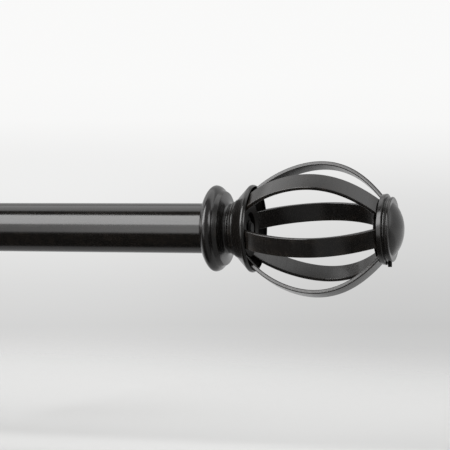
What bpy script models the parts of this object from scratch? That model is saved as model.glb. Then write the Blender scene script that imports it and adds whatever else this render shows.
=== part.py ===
"""Telescoping curtain rod with two cage finials and two adjustable wall brackets.

Metres, +Z up. The rod lies along X, the wall is the plane Y = 0 and the room is at -Y.
The origin is the middle of the right bracket's wall plate, on its back face.
Run with: blender --background --python part.py
"""

import math

import bmesh
import bpy
from mathutils import Vector

# Clearances
GAP = 0.0003  # between pieces that touch, and radially around every bore

# Rod: two steel tubes that telescope
ROD_RADIUS = 0.0127
ROD_WALL = 0.0008
INNER_RADIUS = 0.0110
INNER_WALL = 0.0007
ROD_LENGTH = 0.711  # between the collars' faces, pushed together
INNER_LENGTH = 0.603
MOUTH_STEP = 0.016  # inner tube left bare at the sliding end
TUBE_SEAT = 0.003  # how far a tube enters its collar
RIGHT_END = 0.185  # the right collar's face, from the middle of the right bracket
LEFT_END = RIGHT_END - ROD_LENGTH

# Finials, measured outwards from the collar's face
COLLAR_CREST = (0.0050, 0.0218)
COLLAR_RIM = (0.0080, 0.0200)
COLLAR_STEP = (0.0102, 0.0183)
NECK_END = (0.0128, 0.0126)
CUP_FOOT = NECK_END[0] + GAP
CUP_SHOULDER = (0.0146, 0.0136)
CUP_FLOOR = 0.0168
FLOOR_RADIUS = 0.0130
CONE_START = (0.0161, 0.0141)
CONE_END = (0.0234, 0.02175)
LIP_CENTRE = (0.0242, 0.02055)
LIP_ROLL = 0.0015
LIP_BORE = 0.0213
LIP_END = 0.0256
CAGE_START = (0.0203, 0.01465)
CAGE_APEX = (0.0582, 0.0338)
CAGE_END = (0.0918, 0.0147)
CAGE_SLOPES = (1.25, -1.21)  # at the start and at the end
CAGE_HANDLES = (0.0162, 0.0123, 0.0151, 0.0127)
RIB_COUNT = 6
RIB_WIDTH = 0.0095
RIB_THICKNESS = 0.0020
FIRST_RIB_ANGLE = math.radians(-15)  # from the room side, upwards
BASE_RING = ((0.0208, 0.0118), (0.0230, 0.0141))
BASE_RING_BORE = 0.0082
TIP_HUB = ((0.0885, 0.0149), (0.0914, 0.0117))
FLANGE_FACE = 0.0905
FLANGE_CREST = (0.0914, 0.0176)
FLANGE_FOOT = (0.0930, 0.0164)
RECESS_MOUTH = 0.01725
RECESS_FLOOR = (0.0921, 0.0160)
GROOVE = (0.0938, 0.0157)
BEAD_CREST = (0.0948, 0.0162)
BEAD_CORNER = (0.0956, 0.0152)
DOME_BASE = (0.0956, 0.0134)
DOME_TOP = 0.10025
STUD_RADIUS = 0.0040
STUD_SPAN = (-0.0085, 0.0238)
NUT_ACROSS_FLATS = 0.013
NUT_HEIGHT = 0.0045
CAP_SCREW_RADIUS = 0.0020
CAP_SCREW_BORE_END = 0.0962
SET_SCREW_PLACE = 0.0940
SET_SCREW_RADIUS = 0.0010
SET_SCREW_TIP = 0.0128
SET_SCREW_END = 0.0184

# Brackets
BRACKET_INSET = RIGHT_END  # from each collar to its bracket
PROJECTION = 0.090  # from the wall to the middle of the rod, arms pushed in
PLATE_WIDTH = 0.030
PLATE_HEIGHT = 0.076
PLATE_THICKNESS = 0.0032
PLATE_CORNER = 0.0149
SCREW_SPACING = 0.054
WALL_SCREW_RADIUS = 0.0021
WALL_SCREW_HEAD = 0.0043
WALL_SCREW_LENGTH = 0.038
SOCKET_RADIUS = 0.0075
SOCKET_MOUTH = 0.050
ARM_RADIUS = 0.0045
ARM_TAIL = 0.011
ARM_FLAT = 0.0039
CRADLE_BORE = ROD_RADIUS + GAP
CRADLE_WALL = 0.0035
CRADLE_WIDTH = 0.014
CRADLE_FRONT = 0.008
CRADLE_BACK = 0.012
CLAMP_SCREW_RADIUS = 0.0025
LOCK_SCREW_RADIUS = 0.0020
LOCK_SCREW_PLACE = SOCKET_MOUTH - 0.004

ROUND = 32  # sides of a large round piece
MIDDLE_ROUND = 24
SMALL_ROUND = 16


def clear_scene():
    for old in list(bpy.data.objects):
        bpy.data.objects.remove(old, do_unlink=True)


def make_material(name, colour, roughness, metallic):
    material = bpy.data.materials.new(name)
    material.use_nodes = True
    shader = material.node_tree.nodes["Principled BSDF"]
    shader.inputs["Base Color"].default_value = (*colour, 1.0)
    shader.inputs["Roughness"].default_value = roughness
    shader.inputs["Metallic"].default_value = metallic
    material.diffuse_color = (*colour, 1.0)
    return material


def make_empty(name, location, turn=0.0, parent=None):
    """An empty that carries a group of pieces; turn is about Z."""
    empty = bpy.data.objects.new(name, None)
    bpy.context.scene.collection.objects.link(empty)
    empty.location = location
    empty.rotation_euler = (0.0, 0.0, turn)
    empty.parent = parent
    return empty


def add_object(name, mesh, material, parent, location=(0, 0, 0), rotation=(0, 0, 0)):
    piece = bpy.data.objects.new(name, mesh)
    bpy.context.scene.collection.objects.link(piece)
    if material and not mesh.materials:
        mesh.materials.append(material)
    piece.parent = parent
    piece.location = location
    piece.rotation_euler = rotation
    return piece


def finish_mesh(name, bm):
    """Closes doubles, faces the shell outwards and makes a mesh with smooth round sides."""
    bmesh.ops.remove_doubles(bm, verts=bm.verts, dist=1e-7)
    bmesh.ops.recalc_face_normals(bm, faces=bm.faces)
    mesh = bpy.data.meshes.new(name)
    bm.to_mesh(mesh)
    bm.free()
    mesh.shade_smooth()
    mesh.set_sharp_from_angle(angle=math.radians(35))
    return mesh


def turned_mesh(name, outline, sides=ROUND):
    """Spins an outline of (along, radius) points about X.

    An outline that starts and ends on the axis is a solid of revolution;
    any other is closed into a ring.
    """
    bm = bmesh.new()
    points = [bm.verts.new((along, 0.0, radius)) for along, radius in outline]
    edges = [bm.edges.new(pair) for pair in zip(points, points[1:])]
    if outline[0][1] > 0.0:
        edges.append(bm.edges.new((points[-1], points[0])))
    bmesh.ops.spin(
        bm,
        geom=points + edges,
        cent=(0, 0, 0),
        axis=(1, 0, 0),
        angle=math.tau,
        steps=sides,
        use_merge=True,
    )
    return finish_mesh(name, bm)


def extruded_mesh(name, outline, depth):
    """Extrudes an outline of (y, z) points along X, centred on X = 0."""
    bm = bmesh.new()
    face = bm.faces.new([bm.verts.new((-depth / 2, y, z)) for y, z in outline])
    grown = bmesh.ops.extrude_face_region(bm, geom=[face])["geom"]
    moved = [item for item in grown if isinstance(item, bmesh.types.BMVert)]
    bmesh.ops.translate(bm, verts=moved, vec=(depth, 0, 0))
    return finish_mesh(name, bm)


def bezier(start, first_handle, second_handle, end, steps):
    """Points of a cubic curve, without its first."""
    corners = [Vector(p) for p in (start, first_handle, second_handle, end)]
    points = []
    for step in range(1, steps + 1):
        t = step / steps
        weights = ((1 - t) ** 3, 3 * (1 - t) ** 2 * t, 3 * (1 - t) * t**2, t**3)
        points.append(tuple(sum((w * p for w, p in zip(weights, corners)), Vector((0, 0)))))
    return points


def arc(centre, radius, first, last, steps):
    """Points of an arc in its own plane, from one angle to another in degrees."""
    angles = [math.radians(first + (last - first) * n / steps) for n in range(steps + 1)]
    return [(centre[0] + radius * math.cos(a), centre[1] + radius * math.sin(a)) for a in angles]


def cut(piece, cutter):
    """Subtracts a helper that is left out of the model."""
    cutter.hide_render = True
    cutter.display_type = "WIRE"
    modifier = piece.modifiers.new("Cut " + cutter.name, "BOOLEAN")
    modifier.operation = "DIFFERENCE"
    modifier.solver = "EXACT"
    modifier.object = cutter


# Finial


def cage_curve(steps):
    """The middle line of a rib's outer face, as (along, radius) from cup to tip."""
    apex = Vector(CAGE_APEX)
    start = Vector(CAGE_START)
    end = Vector(CAGE_END)
    leaving = Vector((1.0, CAGE_SLOPES[0])).normalized()
    arriving = Vector((1.0, CAGE_SLOPES[1])).normalized()
    level = Vector((1.0, 0.0))
    first, before_apex, after_apex, last = CAGE_HANDLES
    rise = bezier(start, start + first * leaving, apex - before_apex * level, apex, steps)
    fall = bezier(apex, apex + after_apex * level, end - last * arriving, end, steps)
    return [tuple(start)] + rise + fall


def inner_curve(outer):
    """The same line on a rib's inner face."""
    inner = []
    for index, point in enumerate(outer):
        before = Vector(outer[max(index - 1, 0)])
        after = Vector(outer[min(index + 1, len(outer) - 1)])
        along = (after - before).normalized()
        inner.append((point[0] + along.y * RIB_THICKNESS, point[1] - along.x * RIB_THICKNESS))
    return inner


def rib_mesh():
    """A flat strap bent along the cage's curve, standing on +Z."""
    outer = cage_curve(8)
    inner = inner_curve(outer)
    bm = bmesh.new()
    sections = []
    for (x_out, r_out), (x_in, r_in) in zip(outer, inner):
        corners = (
            (x_out, -RIB_WIDTH / 2, r_out),
            (x_out, RIB_WIDTH / 2, r_out),
            (x_in, RIB_WIDTH / 2, r_in),
            (x_in, -RIB_WIDTH / 2, r_in),
        )
        sections.append([bm.verts.new(corner) for corner in corners])
    for near, far in zip(sections, sections[1:]):
        for side in range(4):
            following = (side + 1) % 4
            bm.faces.new((near[side], near[following], far[following], far[side]))
    bm.faces.new(sections[0])
    bm.faces.new(sections[-1])
    return finish_mesh("rib", bm)


def collar_mesh(tube_radius):
    """Turned ring with a seat for the tube's end and a narrow neck."""
    seat = tube_radius + GAP
    bore = STUD_RADIUS + GAP
    outline = [(0.0, seat), (0.0, ROD_RADIUS + 2 * GAP)]
    outline += bezier(outline[-1], (0.0003, 0.0165), (0.0028, COLLAR_CREST[1]), COLLAR_CREST, 4)
    outline += bezier(COLLAR_CREST, (0.0062, COLLAR_CREST[1]), (0.0074, 0.0210), COLLAR_RIM, 2)
    outline.append(COLLAR_STEP)
    outline += bezier(COLLAR_STEP, (0.0109, 0.0168), (0.0114, 0.0134), NECK_END, 3)
    outline += [(NECK_END[0], bore), (TUBE_SEAT + GAP, bore), (TUBE_SEAT + GAP, seat)]
    return turned_mesh("collar", outline)


def cup_mesh():
    """Flared cup with a rolled lip, open towards the cage."""
    bore = STUD_RADIUS + GAP
    groove = (CUP_SHOULDER[0] + 0.0006, CUP_SHOULDER[1])
    outline = [(CUP_FOOT, bore), (CUP_FOOT, NECK_END[1]), (CUP_FOOT + 0.0008, NECK_END[1] + 0.0003)]
    outline += [CUP_SHOULDER, groove, CONE_START, CONE_END]
    outline += arc(LIP_CENTRE, LIP_ROLL, 100, 40, 2)
    outline += [(LIP_END, LIP_BORE), (LIP_END - 0.0016, LIP_BORE)]
    outline += [(CUP_FLOOR, FLOOR_RADIUS), (CUP_FLOOR, bore)]
    return turned_mesh("cup", outline)


def conical_ring_mesh(name, bore, near, far):
    """Ring with a plain bore and a conical outside between two (along, radius) points."""
    outline = [(near[0], bore), near, far, (far[0], bore)]
    return turned_mesh(name, outline, MIDDLE_ROUND)


def cap_mesh():
    """Flanged cap with a bead and a low dome, hollowed for the ribs' ends and the screw."""
    bulge = DOME_TOP - DOME_BASE[0]
    dome_radius = (DOME_BASE[1] ** 2 + bulge**2) / (2 * bulge)
    dome_centre = DOME_TOP - dome_radius
    bore = CAP_SCREW_RADIUS + GAP
    outline = [(CAP_SCREW_BORE_END, 0.0), (CAP_SCREW_BORE_END, bore)]
    outline += [(RECESS_FLOOR[0], bore), RECESS_FLOOR, (FLANGE_FACE, RECESS_MOUTH)]
    outline += [(FLANGE_FACE + 0.0002, FLANGE_CREST[1] - 0.0001), FLANGE_CREST]
    outline += [(FLANGE_CREST[0] + 0.0008, FLANGE_CREST[1] - 0.0002), FLANGE_FOOT]
    outline += [GROOVE, BEAD_CREST, BEAD_CORNER, DOME_BASE]
    for radius in (0.0100, 0.0060, 0.0):
        outline.append((dome_centre + math.sqrt(dome_radius**2 - radius**2), radius))
    return turned_mesh("cap", outline)


def stud_mesh():
    """Headless threaded stud that joins plug, collar and cup."""
    chamfer = 0.0006
    tail, tip = STUD_SPAN
    outline = [(tail, 0.0), (tail, STUD_RADIUS - chamfer), (tail + chamfer, STUD_RADIUS)]
    outline += [(tip - chamfer, STUD_RADIUS), (tip, STUD_RADIUS - chamfer), (tip, 0.0)]
    return turned_mesh("stud", outline, SMALL_ROUND)


def nut_mesh():
    """Hexagon nut with a plain bore around the stud."""
    corner = NUT_ACROSS_FLATS / math.sqrt(3)
    bm = bmesh.new()
    rings = []
    for along in (0.0, NUT_HEIGHT):
        for radius in (corner, STUD_RADIUS + GAP):
            angles = [math.tau * side / 24 for side in range(24)]
            if radius == corner:
                reach = [
                    NUT_ACROSS_FLATS / 2 / math.cos((a + math.pi / 6) % (math.pi / 3) - math.pi / 6)
                    for a in angles
                ]
            else:
                reach = [radius] * 24
            ring = [
                bm.verts.new((along, r * math.cos(a), r * math.sin(a)))
                for a, r in zip(angles, reach)
            ]
            rings.append(ring)
    near_outer, near_inner, far_outer, far_inner = rings
    for side in range(24):
        following = (side + 1) % 24
        for first, second in (
            (near_outer, far_outer),
            (far_outer, far_inner),
            (far_inner, near_inner),
            (near_inner, near_outer),
        ):
            bm.faces.new((first[side], first[following], second[following], second[side]))
    return finish_mesh("nut", bm)


def cap_screw_mesh():
    """Button-head screw that draws the cap onto the tip hub."""
    end = CAP_SCREW_BORE_END - GAP
    outline = [(0.0859, 0.0), (0.0862, 0.0022), (0.0872, 0.0036), (0.0882, 0.0038)]
    outline += [(0.0882, CAP_SCREW_RADIUS), (end, CAP_SCREW_RADIUS), (end, 0.0)]
    return turned_mesh("cap_screw", outline, SMALL_ROUND)


def set_screw_mesh():
    """Small cone-point screw along +X with its tip at 0."""
    length = SET_SCREW_END - SET_SCREW_TIP
    outline = [(0.0, 0.0), (SET_SCREW_RADIUS / 2, SET_SCREW_RADIUS)]
    outline += [(length, SET_SCREW_RADIUS), (length, 0.0)]
    return turned_mesh("cap_set_screw", outline, SMALL_ROUND)


def plug_mesh(bore_radius):
    """Threaded insert held inside a tube's end."""
    outer = bore_radius - GAP
    inner = STUD_RADIUS + GAP
    tail = TUBE_SEAT - 0.016
    outline = [(tail, inner), (tail, outer), (TUBE_SEAT, outer), (TUBE_SEAT, inner)]
    return turned_mesh("plug", outline, MIDDLE_ROUND)


def build_finial(side, frame, tube_radius, tube_wall, metal, zinc, oxide):
    """All of one rod end's pieces, outwards along the frame's +X."""
    add_object(f"end_plug_{side}", plug_mesh(tube_radius - tube_wall), zinc, frame)
    add_object(f"stud_{side}", stud_mesh(), oxide, frame)
    add_object(f"collar_{side}", collar_mesh(tube_radius), metal, frame)
    add_object(f"cup_{side}", cup_mesh(), metal, frame)
    add_object(f"lock_nut_{side}", nut_mesh(), oxide, frame, (CUP_FLOOR + GAP, 0, 0))
    base_ring = conical_ring_mesh("base_ring", BASE_RING_BORE, *BASE_RING)
    add_object(f"base_ring_{side}", base_ring, metal, frame)
    strap = rib_mesh()
    for number in range(RIB_COUNT):
        around = FIRST_RIB_ANGLE + math.tau * number / RIB_COUNT
        lean = math.pi / 2 - around
        name = f"rib_{side}_{number + 1}"
        add_object(name, strap, metal, frame, rotation=(lean, 0, 0))
    tip_hub = conical_ring_mesh("tip_hub", CAP_SCREW_RADIUS + GAP, *TIP_HUB)
    add_object(f"tip_hub_{side}", tip_hub, metal, frame)
    add_object(f"cap_screw_{side}", cap_screw_mesh(), oxide, frame)

    cap = add_object(f"cap_{side}", cap_mesh(), metal, frame)
    downwards = (0, math.pi / 2, 0)
    tip = (SET_SCREW_PLACE, 0, -SET_SCREW_TIP)
    hole_shape = hole_mesh("set_hole", SET_SCREW_RADIUS + GAP, 2 * (SET_SCREW_END - SET_SCREW_TIP))
    hole_middle = (SET_SCREW_PLACE, 0, GAP - SET_SCREW_END)
    cut(cap, add_object(f"set_hole_{side}", hole_shape, None, frame, hole_middle, downwards))
    add_object(f"cap_set_screw_{side}", set_screw_mesh(), oxide, frame, tip, downwards)


# Rod


def tube_mesh(name, start, end, radius, wall):
    outline = [(start, radius - wall), (start, radius), (end, radius), (end, radius - wall)]
    return turned_mesh(name, outline)


def build_rod(frame, metal, nylon):
    """Outer and inner tube with the ring at the sliding mouth and the hidden guide."""
    mouth = LEFT_END + MOUTH_STEP
    outer_tube = tube_mesh("outer_tube", mouth, RIGHT_END + TUBE_SEAT, ROD_RADIUS, ROD_WALL)
    add_object("outer_tube", outer_tube, metal, frame)
    inner_start = LEFT_END - TUBE_SEAT
    inner_end = inner_start + INNER_LENGTH
    inner_tube = tube_mesh("inner_tube", inner_start, inner_end, INNER_RADIUS, INNER_WALL)
    add_object("inner_tube", inner_tube, metal, frame)
    slip = ROD_RADIUS + GAP
    skin = slip + 0.0008
    lip = mouth - GAP
    ring = [(lip - 0.0012, INNER_RADIUS + GAP), (lip - 0.0012, skin - 0.0006)]
    ring += [(lip - 0.0006, skin), (lip + 0.0095, skin), (lip + 0.0095, slip)]
    ring += [(lip, slip), (lip, INNER_RADIUS + GAP)]
    add_object("mouth_ring", turned_mesh("mouth_ring", ring), nylon, frame)
    spigot = INNER_RADIUS - INNER_WALL - GAP
    glide = ROD_RADIUS - ROD_WALL - GAP
    guide = [(inner_end - 0.012, 0.006), (inner_end - 0.012, spigot)]
    guide += [(inner_end + GAP, spigot), (inner_end + GAP, glide)]
    guide += [(inner_end + 0.005, glide), (inner_end + 0.005, 0.006)]
    add_object("guide_plug", turned_mesh("guide_plug", guide), nylon, frame)


# Bracket


def plate_outline():
    """Rounded rectangle in (y, z), anticlockwise."""
    across = PLATE_WIDTH / 2 - PLATE_CORNER
    up = PLATE_HEIGHT / 2 - PLATE_CORNER
    outline = []
    for y, z, first in ((across, up, 0), (-across, up, 90), (-across, -up, 180), (across, -up, 270)):
        outline += arc((y, z), PLATE_CORNER, first, first + 90, 6)
    return outline


def cradle_outline():
    """U that the rod lies in, seen along X, with the wall towards +y."""
    outer = CRADLE_BORE + CRADLE_WALL
    middle = CRADLE_BORE + CRADLE_WALL / 2
    outline = arc((0, 0), outer, 180, 360, 16)
    outline += arc((middle, CRADLE_BACK), CRADLE_WALL / 2, 0, 180, 4)
    outline += arc((0, 0), CRADLE_BORE, 360, 180, 16)
    outline += arc((-middle, CRADLE_FRONT), CRADLE_WALL / 2, 0, 180, 4)
    return outline


def thumbscrew_mesh(name, radius, length, neck, head_radius, head_length):
    """Screw along +X with its tip at 0 and a round grip."""
    chamfer = 0.0005
    head = length + neck
    outline = [(0.0, 0.0), (0.0, radius - chamfer), (chamfer, radius), (length, radius)]
    outline += [(length, radius + 0.0012), (head, radius + 0.0012), (head, head_radius)]
    outline += [(head + head_length - chamfer, head_radius)]
    outline += [(head + head_length, head_radius - 2 * chamfer), (head + head_length, 0.0)]
    return turned_mesh(name, outline, MIDDLE_ROUND)


def wall_screw_mesh():
    """Countersunk screw along +X, its head's face at 0."""
    head_depth = WALL_SCREW_HEAD - WALL_SCREW_RADIUS
    end = WALL_SCREW_LENGTH
    outline = [(0.0, 0.0), (0.0, WALL_SCREW_HEAD), (head_depth, WALL_SCREW_RADIUS)]
    outline += [(end - 0.006, WALL_SCREW_RADIUS), (end, 0.0004), (end, 0.0)]
    return turned_mesh("wall_screw", outline, 16)


def screw_hole_mesh():
    """Cutter for a countersunk hole, along +X from the plate's front face."""
    bore = WALL_SCREW_RADIUS + GAP
    mouth = WALL_SCREW_HEAD + GAP
    below = mouth - bore
    outline = [(-0.001, 0.0), (-0.001, mouth), (0.0003, mouth), (0.0003 + below, bore)]
    outline += [(PLATE_THICKNESS + 0.001, bore), (PLATE_THICKNESS + 0.001, 0.0)]
    return turned_mesh("screw_hole", outline, SMALL_ROUND)


def hole_mesh(name, radius, length):
    """Cutter for a plain round hole, centred on X = 0."""
    start = -length / 2
    outline = [(start, 0.0), (start, radius), (-start, radius), (-start, 0.0)]
    return turned_mesh(name, outline, SMALL_ROUND)


def socket_mesh():
    """Tube on a round foot, along +X out from the plate."""
    bore = ARM_RADIUS + GAP
    foot = PLATE_THICKNESS + GAP
    outline = [(foot, 0.0), (foot, 0.0125), (foot + 0.002, 0.0125), (foot + 0.0035, 0.0105)]
    outline += [(foot + 0.0055, SOCKET_RADIUS), (SOCKET_MOUTH - 0.008, SOCKET_RADIUS)]
    outline += [(SOCKET_MOUTH - 0.007, SOCKET_RADIUS + 0.0008)]
    outline += [(SOCKET_MOUTH - 0.001, SOCKET_RADIUS + 0.0008), (SOCKET_MOUTH, SOCKET_RADIUS)]
    outline += [(SOCKET_MOUTH, bore), (ARM_TAIL - 0.002, bore), (ARM_TAIL - 0.002, 0.0)]
    return turned_mesh("socket", outline, MIDDLE_ROUND)


def arm_mesh():
    """Round bar along +X with a bead and a spigot for the cradle."""
    shoulder = PROJECTION - CRADLE_BORE - CRADLE_WALL - GAP
    spigot = 0.0029
    outline = [(ARM_TAIL, 0.0), (ARM_TAIL, ARM_RADIUS - 0.0006), (ARM_TAIL + 0.0006, ARM_RADIUS)]
    outline += [(shoulder - 0.008, ARM_RADIUS), (shoulder - 0.0066, 0.0062)]
    outline += [(shoulder - 0.0050, 0.0069), (shoulder - 0.0034, 0.0062)]
    outline += [(shoulder - 0.0028, 0.0053), (shoulder, 0.0053)]
    outline += [(shoulder, spigot), (shoulder + CRADLE_WALL, spigot), (shoulder + CRADLE_WALL, 0.0)]
    return turned_mesh("arm", outline, MIDDLE_ROUND)


def build_bracket(side, frame, metal, zinc):
    """Plate, socket, sliding arm, cradle and screws; out of the wall is the frame's -Y."""
    outwards = (0, 0, -math.pi / 2)
    inwards = (0, 0, math.pi / 2)
    downwards = (0, math.pi / 2, 0)
    plate_mesh = extruded_mesh("wall_plate", plate_outline(), PLATE_THICKNESS)
    plate_middle = (0, -PLATE_THICKNESS / 2, 0)
    plate = add_object(f"wall_plate_{side}", plate_mesh, metal, frame, plate_middle, outwards)
    rounding = plate.modifiers.new("Edges", "BEVEL")
    rounding.width = 0.0008
    rounding.segments = 2
    rounding.limit_method = "ANGLE"
    for place, height in (("upper", SCREW_SPACING / 2), ("lower", -SCREW_SPACING / 2)):
        front = (0, -PLATE_THICKNESS, height)
        hole = add_object(f"{place}_hole_{side}", screw_hole_mesh(), None, frame, front, inwards)
        cut(plate, hole)
        add_object(f"wall_screw_{side}_{place}", wall_screw_mesh(), zinc, frame, front, inwards)

    socket = add_object(f"socket_{side}", socket_mesh(), metal, frame, rotation=outwards)
    lock_hole_mesh = hole_mesh("lock_hole", LOCK_SCREW_RADIUS + GAP, 0.010)
    lock_place = (0, -LOCK_SCREW_PLACE, -SOCKET_RADIUS)
    cut(socket, add_object(f"lock_hole_{side}", lock_hole_mesh, None, frame, lock_place, downwards))
    lock_tip = (0, lock_place[1], -ARM_FLAT - GAP)
    lock_mesh = thumbscrew_mesh("lock_screw", LOCK_SCREW_RADIUS, 0.0065, 0.0012, 0.0058, 0.0045)
    add_object(f"lock_screw_{side}", lock_mesh, metal, frame, lock_tip, downwards)

    arm = add_object(f"arm_{side}", arm_mesh(), metal, frame, rotation=outwards)
    flat_length = 0.052
    below = 0.006
    flat_outline = [(-0.006, -0.003), (0.006, -0.003), (0.006, 0.003), (-0.006, 0.003)]
    flat_mesh = extruded_mesh("arm_flat", flat_outline, flat_length)
    flat_place = (0, -ARM_TAIL - flat_length / 2 + 0.002, -ARM_FLAT - below / 2)
    cut(arm, add_object(f"arm_flat_{side}", flat_mesh, None, frame, flat_place, outwards))

    rod_place = (0, -PROJECTION, 0)
    cradle_shape = extruded_mesh("cradle", cradle_outline(), CRADLE_WIDTH)
    cradle = add_object(f"cradle_{side}", cradle_shape, metal, frame, rod_place)
    middle = CRADLE_BORE + CRADLE_WALL / 2
    back = (0, -PROJECTION + middle, 0)
    front = (0, -PROJECTION - middle, 0)
    spigot_hole = hole_mesh("spigot_hole", 0.0029 + GAP, 2 * CRADLE_WALL)
    clamp_hole = hole_mesh("clamp_hole", CLAMP_SCREW_RADIUS + GAP, 2 * CRADLE_WALL)
    cut(cradle, add_object(f"spigot_hole_{side}", spigot_hole, None, frame, back, outwards))
    cut(cradle, add_object(f"clamp_hole_{side}", clamp_hole, None, frame, front, outwards))
    clamp_tip = (0, -PROJECTION - ROD_RADIUS - GAP, 0)
    clamp_mesh = thumbscrew_mesh("clamp_screw", CLAMP_SCREW_RADIUS, 0.0072, 0.0015, 0.0075, 0.0055)
    add_object(f"clamp_screw_{side}", clamp_mesh, metal, frame, clamp_tip, outwards)


def main():
    clear_scene()
    metal = make_material("black_bronze", (0.016, 0.013, 0.011), 0.28, 0.5)
    zinc = make_material("zinc_plate", (0.55, 0.56, 0.57), 0.35, 1.0)
    oxide = make_material("black_oxide", (0.03, 0.03, 0.032), 0.45, 1.0)
    nylon = make_material("black_nylon", (0.02, 0.02, 0.02), 0.5, 0.0)

    rod_frame = make_empty("rod_frame", (0, -PROJECTION, 0))
    build_rod(rod_frame, metal, nylon)
    right = make_empty("finial_frame_right", (RIGHT_END, 0, 0), parent=rod_frame)
    left = make_empty("finial_frame_left", (LEFT_END, 0, 0), math.pi, rod_frame)
    build_finial("right", right, ROD_RADIUS, ROD_WALL, metal, zinc, oxide)
    build_finial("left", left, INNER_RADIUS, INNER_WALL, metal, zinc, oxide)

    build_bracket("right", make_empty("bracket_frame_right", (0, 0, 0)), metal, zinc)
    left_bracket = make_empty("bracket_frame_left", (LEFT_END + BRACKET_INSET, 0, 0))
    build_bracket("left", left_bracket, metal, zinc)
    bpy.context.view_layer.update()


if __name__ == "__main__":
    main()
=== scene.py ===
"""Looks of a telescoping curtain rod: cage finials, tubes, wall brackets and the studio."""

import logging
import math
from collections.abc import Callable, Iterable, Sequence
from dataclasses import dataclass, field
from enum import Enum
from typing import NamedTuple

import bmesh
import bpy
from mathutils import Matrix, Vector


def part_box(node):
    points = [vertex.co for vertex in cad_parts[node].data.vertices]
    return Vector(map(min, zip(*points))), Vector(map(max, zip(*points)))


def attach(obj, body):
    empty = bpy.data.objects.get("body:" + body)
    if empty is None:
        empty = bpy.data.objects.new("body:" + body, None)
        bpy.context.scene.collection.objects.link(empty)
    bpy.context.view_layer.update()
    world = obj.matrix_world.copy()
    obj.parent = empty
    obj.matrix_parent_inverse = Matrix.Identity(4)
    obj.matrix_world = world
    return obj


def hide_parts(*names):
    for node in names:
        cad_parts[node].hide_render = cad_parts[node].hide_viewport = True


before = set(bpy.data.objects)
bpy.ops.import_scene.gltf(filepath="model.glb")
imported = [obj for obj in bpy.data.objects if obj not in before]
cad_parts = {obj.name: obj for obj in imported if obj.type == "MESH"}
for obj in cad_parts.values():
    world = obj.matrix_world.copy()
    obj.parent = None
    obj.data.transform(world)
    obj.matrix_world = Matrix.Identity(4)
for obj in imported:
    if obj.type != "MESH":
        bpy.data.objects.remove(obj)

Point = tuple[float, float]
Outline = list[Point]
Triple = tuple[float, float, float]

log = logging.getLogger("curtain_rod")

MM = 0.001
FINE_SIDES = 144  # sides of a large turned piece
SMALL_SIDES = 64
SCREW_SIDES = 48
SLEEVE_SIDES = 96  # sides of the bracket's turned pieces
SHARP_TURN = math.radians(38)  # edges that turn by more than this are shaded sharp
EDGE_LAYER = "edge"  # vertex attribute: 1 on rounded edges, where lacquer wears first


class Side(Enum):
    """An end of the rod, seen from the room."""

    RIGHT = "right"
    LEFT = "left"

    @property
    def turn(self) -> float:
        """The angle about Z from the right end's frame to this one's."""
        return 0.0 if self is Side.RIGHT else math.pi


class Heading(Enum):
    """The way that a turned piece points, from its own +X, as an angle and the axis it is about."""

    INTO_ROOM = (-math.pi / 2, "Z")
    INTO_WALL = (math.pi / 2, "Z")
    DOWN = (math.pi / 2, "Y")

    def placed_at(self, place: Vector) -> Matrix:
        """The matrix that turns a piece to this heading and moves it to a place."""
        angle, axis = self.value
        return Matrix.Translation(place) @ Matrix.Rotation(angle, 4, axis)


# Outlines


def bezier(start: Point, leave: Point, arrive: Point, end: Point, steps: int) -> Outline:
    """Points of a cubic curve, without its first.

    Args:
        start: first point.
        leave: handle of the first point.
        arrive: handle of the last point.
        end: last point.
        steps: how many points to give.

    Returns:
        The points after the first.
    """
    points = []
    for step in range(1, steps + 1):
        t = step / steps
        weights = ((1 - t) ** 3, 3 * (1 - t) ** 2 * t, 3 * (1 - t) * t * t, t**3)
        corners = (start, leave, arrive, end)
        points.append(tuple(sum(w * c[i] for w, c in zip(weights, corners)) for i in (0, 1)))
    return points


def arc(centre: Point, radius: float, first: float, last: float, steps: int) -> Outline:
    """Points of an arc, both ends included.

    Args:
        centre: the arc's centre.
        radius: its radius.
        first: angle of its first point, in degrees.
        last: angle of its last point, in degrees.
        steps: how many spans it is cut into.

    Returns:
        The points in order.
    """
    angles = [math.radians(first + (last - first) * n / steps) for n in range(steps + 1)]
    return [(centre[0] + radius * math.cos(a), centre[1] + radius * math.sin(a)) for a in angles]


# Mesh work


def spun(outline: Outline, sides: int = FINE_SIDES) -> bmesh.types.BMesh:
    """Spins an outline of (along, radius) points about X.

    Args:
        outline: from axis to axis for a solid, otherwise a loop that is closed into a ring.
        sides: how many sides the round has.

    Returns:
        A closed bmesh whose faces point outwards.
    """
    bm = bmesh.new()
    points = [bm.verts.new((along, 0.0, radius)) for along, radius in outline]
    edges = [bm.edges.new(pair) for pair in zip(points, points[1:])]
    if outline[0][1] > 0.0:
        edges.append(bm.edges.new((points[-1], points[0])))
    bmesh.ops.spin(
        bm,
        geom=points + edges,
        cent=(0, 0, 0),
        axis=(1, 0, 0),
        angle=math.tau,
        steps=sides,
        use_merge=True,
    )
    bmesh.ops.remove_doubles(bm, verts=bm.verts, dist=1e-7)
    bmesh.ops.recalc_face_normals(bm, faces=bm.faces)
    return bm


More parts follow.
